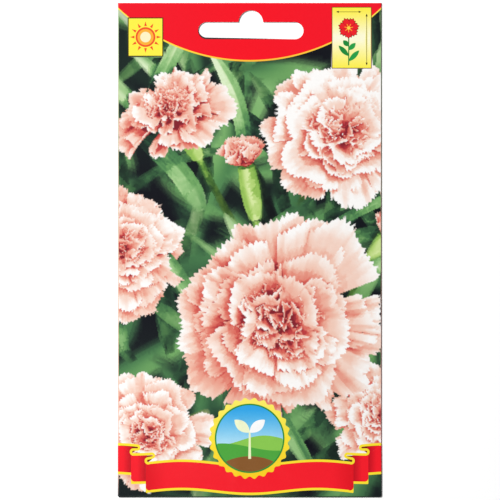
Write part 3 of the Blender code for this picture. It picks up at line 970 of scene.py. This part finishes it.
def tracePicture(life, covered):
    # colours on a grid that is split wherever they change fast, down to a quarter of its step
    step = tracing["coarse"]
    finest = 2 ** tracing["levels"]
    unit = step / finest
    left, foot = -foldX - 0.5, footFoldY - 0.5
    columns, rows = int(2 * -left / step) + 1, int((headY - 2 - foot) / step) + 1
    wobble = np.random.default_rng(9)
    seen = {}

    def colourAt(keys):
        new = [k for k in keys if k not in seen]
        if new:
            places = np.array([(left + i * unit, foot + j * unit) for i, j in new])
            places += wobble.uniform(-tracing["wobble"], tracing["wobble"], places.shape) * unit
            hidden = covered(places)
            colours = np.zeros((len(new), 3))
            if (~hidden).any():
                colours[~hidden] = pictureColours(life, places[~hidden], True)
            for k, place, colour, under in zip(new, places, colours, hidden):
                seen[k] = (place, colour, under)

    cells = [(i * finest, j * finest) for i in range(columns) for j in range(rows)]
    size = finest
    for level in range(tracing["levels"] + 1):
        corners = sorted({(i + a, j + b) for i, j in cells for a in (0, size) for b in (0, size)})
        colourAt(corners)
        if level == tracing["levels"]:
            break
        split, half = [], size // 2
        for i, j in cells:
            four = [seen[(i + a, j + b)] for a in (0, size) for b in (0, size)]
            clear = [colour for _, colour, under in four if not under]
            if len(clear) < 2:
                continue
            if np.ptp(np.array(clear), 0).max() > tracing["difference"]:
                split += [(i, j), (i + half, j), (i, j + half), (i + half, j + half)]
        cells, size = split, half
    places = np.array([p for p, _, under in seen.values() if not under])
    colours = np.array([c for _, c, under in seen.values() if not under])
    return places, colours


def buildBlank():
    parts = printParts()
    drawn = [np.array(outline) for name, outline, _ in parts if name not in ("picture", "back")]
    covers = [outline for outline in drawn if np.ptp(outline, 0).min() > 6]  # small ones hide no picture

    def covered(places):
        hidden = np.zeros(len(places), bool)
        for outline in covers:
            hidden |= inOutline(outline, places)
        return hidden

    life = buildStillLife()
    print("still life:", len(life[0].triangles) + len(life[1].triangles), "triangles")
    traced, tracedColours = tracePicture(life, covered)
    print("picture traced at", len(traced), "points")

    verts, edges, faces = [], [], []

    def addLoop(outline, asFace):
        base = len(verts)
        outline = np.array(outline, float)
        ahead = np.roll(outline, -1, 0)
        if (outline[:, 0] * ahead[:, 1] - ahead[:, 0] * outline[:, 1]).sum() < 0:
            outline = outline[::-1]  # the triangulation fills what lies left of an outline
        verts.extend(Vector(point) for point in outline.tolist())
        ring = list(range(base, base + len(outline)))
        if asFace:
            faces.append(ring)
        else:
            edges.extend(zip(ring, ring[1:] + ring[:1]))

    for _, outline, _ in parts:
        addLoop(outline, True)
    addLoop(blankOutline(), False)
    for outline in slotsOnBlank():
        addLoop(outline, False)
    for a, b in foldLines():
        verts.extend((Vector(a), Vector(b)))
        edges.append((len(verts) - 2, len(verts) - 1))
    firstTraced = len(verts)
    verts.extend(Vector(p) for p in traced.tolist())
    fill = [gridPoints(-blankHalf, footFoldY, -foldX - foldTurn, headY, nets["back"]),
            gridPoints(foldX + foldTurn, footFoldY, blankHalf, headY, nets["back"]),
            gridPoints(-flapHalf, blankFoot, flapHalf, footFoldY - 1, nets["back"])]
    front = gridPoints(-foldX, footFoldY, foldX, headY, nets["front"])
    fill.append(front[covered(front)])
    verts.extend(Vector(p) for p in np.concatenate(fill).tolist())
    out = delaunay_2d_cdt(verts, edges, faces, 0, 1e-5, True)
    flatPoints = np.array([tuple(v) for v in out[0]])
    triangles = np.array([tuple(f) for f in out[2]])
    topPart = np.array([max(ids) if ids else -1 for ids in out[5]])
    keep = onPaper(flatPoints[triangles].mean(1))
    triangles, topPart = triangles[keep], topPart[keep]
    used = np.unique(triangles)
    renumber = np.full(len(flatPoints), -1)
    renumber[used] = np.arange(len(used))
    # colours known from the tracing, by vertex
    known = np.full(len(flatPoints), -1)
    for i, sources in enumerate(out[3]):
        for source in sources:
            if firstTraced <= source < firstTraced + len(traced):
                known[i] = source - firstTraced
    triangles, flatPoints, known = renumber[triangles], flatPoints[used], known[used]
    corner = np.ones((len(triangles), 3, 3))
    inPicture = topPart == 0
    pictureVerts = np.unique(triangles[inPicture])
    vertColours = np.zeros((len(flatPoints), 3))
    haveColour = known >= 0
    vertColours[haveColour] = tracedColours[known[haveColour]]
    missing = pictureVerts[~haveColour[pictureVerts]]
    if len(missing):
        vertColours[missing] = pictureColours(life, flatPoints[missing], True)
    corner[inPicture] = vertColours[triangles[inPicture]]
    for index, (_, _, colour) in enumerate(parts):
        mine = topPart == index
        if colour is not None and mine.any():
            where = flatPoints[triangles[mine]].reshape(-1, 2)
            corner[mine] = colour(where[:, 0], where[:, 1]).reshape(-1, 3, 3)
    return flatPoints, triangles, corner


def boundaryEdges(triangles):
    sides = np.concatenate([triangles[:, [0, 1]], triangles[:, [1, 2]], triangles[:, [2, 0]]])
    there = {(a, b) for a, b in sides.tolist()}
    return [(a, b) for a, b in sorted(there) if (b, a) not in there]


def buildInnerSide(flatPoints, rim):
    # a coarser net for the unprinted side that shares the outer side's rim points
    rimVerts = sorted({v for edge in rim for v in edge})
    place = {v: i for i, v in enumerate(rimVerts)}
    verts = [Vector(flatPoints[v].tolist()) for v in rimVerts]
    edges = [(place[a], place[b]) for a, b in rim]
    inner = gridPoints(-blankHalf, blankFoot, blankHalf, headY, nets["inside"])
    rimPoints = flatPoints[rimVerts]
    inner = inner[onPaper(inner)]
    toRim = np.array([np.min(np.abs(rimPoints - p).max(1)) for p in inner])
    verts.extend(Vector(p) for p in inner[toRim > nets["offRim"]].tolist())
    for a, b in foldLines():
        count = max(2, int((Vector(b) - Vector(a)).length / nets["alongFold"]))
        for w in np.linspace(0, 1, count + 1)[1:-1]:
            verts.append(Vector(a).lerp(Vector(b), float(w)))
    out = delaunay_2d_cdt(verts, edges, [], 0, 1e-6, True)
    points = np.array([tuple(v) for v in out[0]])
    faces = np.array([tuple(f) for f in out[2]])
    faces = faces[onPaper(points[faces].mean(1))]
    origin = np.full(len(points), -1)
    for i, sources in enumerate(out[3]):
        for source in sources:
            if source < len(rimVerts):
                origin[i] = rimVerts[source]
    return points, faces, origin


def signedArea(points, faces):
    a, b, c = (points[faces[:, k]] for k in range(3))
    return np.cross(b - a, c - a)


def folded(points, side):
    # the sheet's printed side for 1 and its unprinted side for -1
    middle, normal = foldSheet(points[:, 0], points[:, 1]), sheetNormals(points[:, 0], points[:, 1])
    return middle + side * normal * sheet["paper"] / 2


def buildWrapper():
    flatPoints, triangles, corner = buildBlank()
    wrong = signedArea(flatPoints, triangles) < 0
    triangles[wrong] = triangles[wrong][:, ::-1]
    corner[wrong] = corner[wrong][:, ::-1]
    rim = boundaryEdges(triangles)
    innerPoints, innerFaces, origin = buildInnerSide(flatPoints, rim)
    wrong = signedArea(innerPoints, innerFaces) > 0
    innerFaces[wrong] = innerFaces[wrong][:, ::-1]
    outer, inner = folded(flatPoints, 1), folded(innerPoints, -1)
    offset = len(outer)
    innerOf = {int(o): i + offset for i, o in enumerate(origin) if o >= 0}
    lost = [v for edge in rim for v in edge if v not in innerOf]
    print("rim edges", len(rim), "rim points without a partner", len(lost))
    faces = triangles.tolist() + (innerFaces + offset).tolist()
    rimFaces = [(b, a, innerOf[a], innerOf[b]) for a, b in rim]
    points = np.concatenate([outer, inner]) * mm
    mesh = bpy.data.meshes.new("printedWrapper")
    mesh.from_pydata(points.tolist(), [], faces + rimFaces)
    mesh.update()

    # colours and the flat map, corner by corner
    def bare(places):
        # white, but for painted shade round the slot of the back layers, standing in for the dark gap between
        # the slipped layers
        slotShaded = np.zeros(len(places), bool)
        for outline in slotsOnBlank()[1:]:
            low, high = outline.min(0) - slot["slotShadeReach"], outline.max(0) + slot["slotShadeReach"]
            slotShaded |= ((places > low) & (places < high)).all(1)
        return toLinear(np.where(slotShaded[:, None], hexColour(slot["soilAndSlotShade"]), 1.0))

    rimPlaces = np.array([flatPoints[v] for a, b in rim for v in (b, a, a, b)])
    innerShades = bare(innerPoints[innerFaces].reshape(-1, 2))
    shades = np.concatenate([toLinear(corner).reshape(-1, 3), innerShades, bare(rimPlaces)])
    layerColour = mesh.color_attributes.new("inkColour", "FLOAT_COLOR", "CORNER")
    shades = np.hstack([shades, np.ones((len(shades), 1))])
    layerColour.data.foreach_set("color", shades.astype(np.float32).ravel())
    flatMap = mesh.uv_layers.new(name="OFBake")
    span, moved = 2 * blankHalf + 2, (blankHalf + 1, -blankFoot + 1)
    outerMap = (flatPoints[triangles].reshape(-1, 2) + moved) / span
    tuck = 0.08  # the unprinted side is plain, so its map is a small copy beside the flap
    innerMap = (innerPoints[innerFaces].reshape(-1, 2) + moved) / span * tuck
    rimMap = (rimPlaces + moved) / span * tuck + (tuck * 1.15, 0)
    flatMap.data.foreach_set("uv", np.concatenate([outerMap, innerMap, rimMap]).astype(np.float32).ravel())
    unprinted = np.arange(len(mesh.polygons)) >= len(triangles)
    mesh.polygons.foreach_set("material_index", unprinted.astype(np.int32))
    mesh.polygons.foreach_set("use_smooth", np.arange(len(mesh.polygons)) < len(faces))
    mesh.set_sharp_from_angle(angle=math.radians(50))  # the cut edges stay crisp, the folds stay round
    mesh.update()
    wrapper = bpy.data.objects.new("printedWrapper", mesh)
    bpy.context.scene.collection.objects.link(wrapper)
    print("wrapper:", len(mesh.polygons), "faces")
    return wrapper


# Materials

def newMaterial(name):
    made = bpy.data.materials.new(name)
    made.use_nodes = True
    tree = made.node_tree
    return made, tree, tree.nodes["Principled BSDF"]


def addNode(tree, kind, settings=None, links=None):
    # one node, with its settings by attribute or socket name, and links from other nodes' outputs
    node = tree.nodes.new(kind)
    for name, value in (settings or {}).items():
        if hasattr(node, name):
            setattr(node, name, value)
        else:
            node.inputs[name].default_value = value
    for name, source in (links or {}).items():
        tree.links.new(source, node.inputs[name])
    return node


def noise(tree, size, detail, roughness=0.5):
    # a noise pattern with grains about size millimetres across, laid by the object's own coordinates
    place = addNode(tree, "ShaderNodeTexCoord")
    settings = {"Scale": 1 / (size * mm), "Detail": detail, "Roughness": roughness}
    return addNode(tree, "ShaderNodeTexNoise", settings, {"Vector": place.outputs["Object"]}).outputs["Fac"]


def addBump(tree, shader, height, strength, depth, invert=False):
    bump = addNode(tree, "ShaderNodeBump", {"Strength": strength, "Distance": depth * mm, "invert": invert},
                   {"Height": height})
    tree.links.new(bump.outputs["Normal"], shader.inputs["Normal"])


def coatedPaperPrint():
    # coated paper, offset printed and machine varnished: ink lies in the coating, so the eye gets full
    # colour under a soft even gloss, with a faint mottle where the ink took unevenly
    surface, tree, shader = newMaterial("coatedPaperPrint")
    ink = addNode(tree, "ShaderNodeAttribute", {"attribute_name": "inkColour"})
    mottle = noise(tree, 0.8, 3.0, 0.6)  # ink mottle is about 0.8 mm across
    level = addNode(tree, "ShaderNodeMapRange", {"To Min": 0.91, "To Max": 0.985}, {"Value": mottle})
    mixed = addNode(tree, "ShaderNodeVectorMath", {"operation": "SCALE"},
                    {"Vector": ink.outputs["Color"], "Scale": level.outputs["Result"]})
    tree.links.new(mixed.outputs["Vector"], shader.inputs["Base Color"])
    fibre = noise(tree, 0.3, 4.0)  # paper fibres are 20 microns wide; 0.3 mm is as coarse as it takes to show
    gloss = addNode(tree, "ShaderNodeMapRange", {"To Min": 0.20, "To Max": 0.28}, {"Value": fibre})
    tree.links.new(gloss.outputs["Result"], shader.inputs["Roughness"])
    addBump(tree, shader, fibre, 0.10, 0.02)
    shader.inputs["IOR"].default_value = 1.42
    shader.inputs["Coat Weight"].default_value = 0.1
    shader.inputs["Coat Roughness"].default_value = 0.12
    return surface


def barePaper():
    # the uncoated side and the cut edges: matt white, a little warm, with fibres that scatter the light
    surface, tree, shader = newMaterial("barePaper")
    fibre = noise(tree, 0.4, 5.0, 0.7)  # clumps of fibres, drawn coarse enough to show
    shade = addNode(tree, "ShaderNodeValToRGB", None, {"Fac": fibre})
    shade.color_ramp.elements[0].position = 0.3
    shade.color_ramp.elements[0].color = (*toLinear(hexColour("#E9E5DC")), 1)
    shade.color_ramp.elements[1].position = 0.7
    shade.color_ramp.elements[1].color = (*toLinear(hexColour("#F7F5EF")), 1)
    # painted shade: the inkColour attribute darkens the unprinted side and cut edges round the back layers'
    # slot
    slotShadeTint = addNode(tree, "ShaderNodeAttribute", {"attribute_name": "inkColour"})
    withSlotShade = addNode(tree, "ShaderNodeVectorMath", {"operation": "MULTIPLY"},
                      {0: shade.outputs["Color"], 1: slotShadeTint.outputs["Color"]})
    tree.links.new(withSlotShade.outputs["Vector"], shader.inputs["Base Color"])
    shader.inputs["Roughness"].default_value = 0.85
    addBump(tree, shader, fibre, 0.3, 0.02)
    return surface


def seedCoat():
    # dry carnation seed: dull black, finely wrinkled in rows, slightly brown on the ridges
    surface, tree, shader = newMaterial("seedCoat")
    place = addNode(tree, "ShaderNodeTexCoord")
    # wrinkles 0.22 mm apart
    wrinkle = addNode(tree, "ShaderNodeTexVoronoi", {"Scale": 1 / (0.22 * mm)},
                      {"Vector": place.outputs["Object"]}).outputs["Distance"]
    shade = addNode(tree, "ShaderNodeValToRGB", None, {"Fac": wrinkle})
    shade.color_ramp.elements[0].color = (*toLinear(hexColour("#3A302A")), 1)
    shade.color_ramp.elements[1].color = (*toLinear(hexColour("#14110F")), 1)
    shade.color_ramp.elements[1].position = 0.6
    tree.links.new(shade.outputs["Color"], shader.inputs["Base Color"])
    shader.inputs["Roughness"].default_value = 0.62
    addBump(tree, shader, wrinkle, 0.6, 0.04, True)
    return surface


# The stage

def whiteTable():
    bpy.ops.mesh.primitive_plane_add(size=6.0, location=(0, 0, 0))
    floor = bpy.context.object
    floor.name = "whiteTable"
    surface, _, shader = newMaterial("mattWhiteBoard")
    shader.inputs["Base Color"].default_value = (*toLinear(hexColour("#FFFFFF")), 1)
    shader.inputs["Roughness"].default_value = 0.9
    floor.data.materials.append(surface)


def softLight(name, place, size, power):
    light = bpy.data.lights.new(name, "AREA")
    light.shape, light.size, light.energy = "DISK", size, power
    made = bpy.data.objects.new(name, light)
    made.location = place
    made.rotation_euler = (-Vector(place)).to_track_quat("-Z", "Y").to_euler()  # turned to the packet
    bpy.context.scene.collection.objects.link(made)


def photoCamera():
    # straight down, from far enough that the flat packet keeps its true shape
    lens, sensor = 150.0, 36.0
    viewSide = 151.8 * mm  # what the square picture takes in at the table
    aside, above = 0.1 * mm, 0.05 * mm  # the packet lies a hair off the picture's middle
    data = bpy.data.cameras.new("photoCamera")
    data.lens, data.sensor_width = lens, sensor
    data.clip_start, data.clip_end = 0.01, 20
    camera = bpy.data.objects.new("photoCamera", data)
    camera.location = (aside, above, viewSide * lens / sensor)
    bpy.context.scene.collection.objects.link(camera)
    bpy.context.scene.camera = camera


wrapper = buildWrapper()
wrapper.data.materials.append(coatedPaperPrint())
wrapper.data.materials.append(barePaper())
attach(wrapper, "root")
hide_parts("wrapper")
print("packet folded")

coat = seedCoat()
for name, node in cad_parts.items():
    if name.startswith("seed"):
        node.data.materials.clear()
        node.data.materials.append(coat)
print("seeds finished")

whiteTable()
# the key stands high at the upper left, so that the edges throw a thin shadow to the right and to the
# foot and the gloss sends none of it up to the camera
softLight("keyLight", (-1.25, 0.66, 1.70), 0.44, 56.5)
softLight("fillLight", (-0.35, -0.55, 1.10), 0.5, 1.2)
world = bpy.data.worlds.new("studio")
world.use_nodes = True
world.node_tree.nodes["Background"].inputs["Color"].default_value = (1, 1, 1, 1)
world.node_tree.nodes["Background"].inputs["Strength"].default_value = 0.12
bpy.context.scene.world = world
photoCamera()
# colours straight as printed, with no film curve over them
bpy.context.scene.view_settings.view_transform = "Standard"
print("stage lit")
